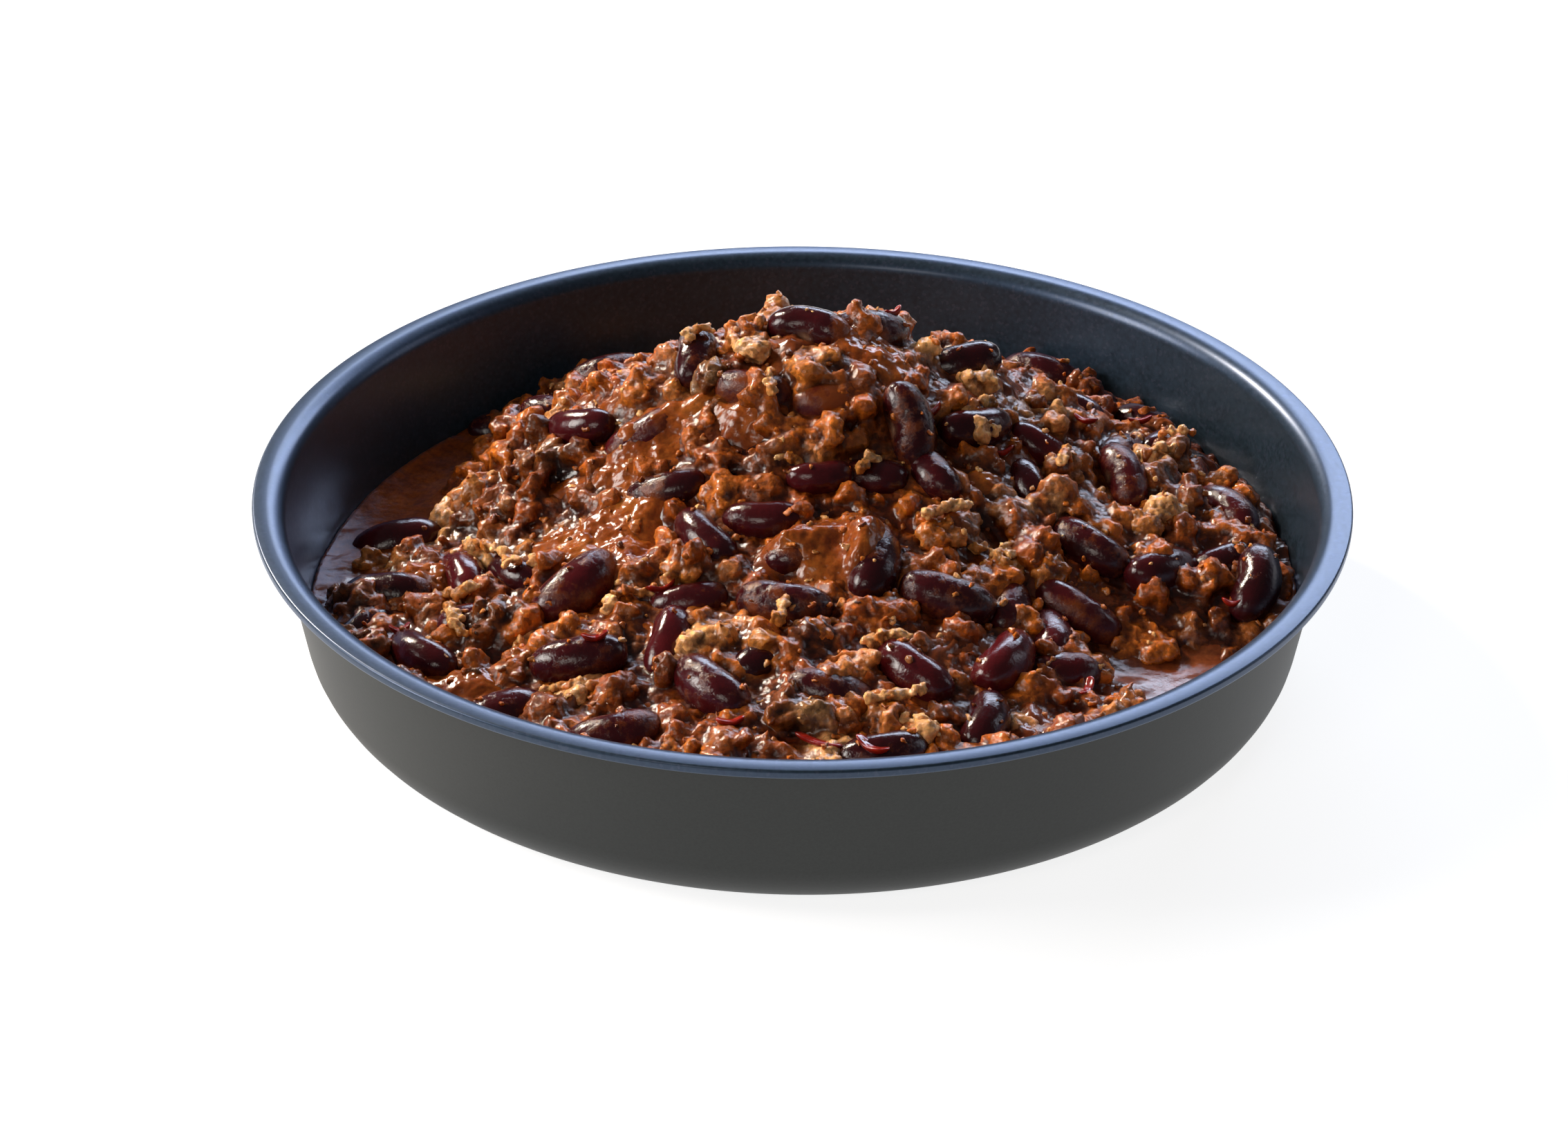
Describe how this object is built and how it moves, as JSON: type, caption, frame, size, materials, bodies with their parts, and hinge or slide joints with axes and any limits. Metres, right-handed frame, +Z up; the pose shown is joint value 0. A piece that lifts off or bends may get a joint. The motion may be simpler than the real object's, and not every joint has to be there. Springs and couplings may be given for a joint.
{
  "type": "chili con carne in a frying dish",
  "caption": "Heap of minced meat and kidney beans in tomato sauce, in a round shallow metal dish with a sloping wall and a flat rolled-out lip.",
  "frame": {"origin": "middle of the dish's flat underside, on the surface it stands on", "axes": "+Z up out of the dish's mouth, +Y towards the higher side of the heap, +X to the right seen from the front"},
  "size_m": [0.2, 0.2, 0.0534],
  "materials": {
    "dish_metal": "matt dark grey, hard-coated",
    "meat_and_sauce": "wet minced meat in tomato sauce",
    "bean_skin": "wet dark red bean skin"
  },
  "bodies": {
    "root": {"dish": "dish_metal", "chili": "meat_and_sauce", "bean_01": "bean_skin", "bean_02": "bean_skin", "bean_03": "bean_skin", "bean_04": "bean_skin", "bean_05": "bean_skin", "bean_06": "bean_skin", "bean_07": "bean_skin", "bean_08": "bean_skin", "bean_09": "bean_skin", "bean_10": "bean_skin", "bean_11": "bean_skin", "bean_12": "bean_skin", "bean_13": "bean_skin", "bean_14": "bean_skin", "bean_15": "bean_skin", "bean_16": "bean_skin", "bean_17": "bean_skin", "bean_18": "bean_skin", "bean_19": "bean_skin", "bean_20": "bean_skin", "bean_21": "bean_skin", "bean_22": "bean_skin", "bean_23": "bean_skin", "bean_24": "bean_skin", "bean_25": "bean_skin", "bean_26": "bean_skin", "bean_27": "bean_skin", "bean_28": "bean_skin", "bean_29": "bean_skin", "bean_30": "bean_skin", "bean_31": "bean_skin", "bean_32": "bean_skin", "bean_33": "bean_skin", "bean_34": "bean_skin", "bean_35": "bean_skin", "bean_36": "bean_skin", "bean_37": "bean_skin"}
  },
  "joints": []
}
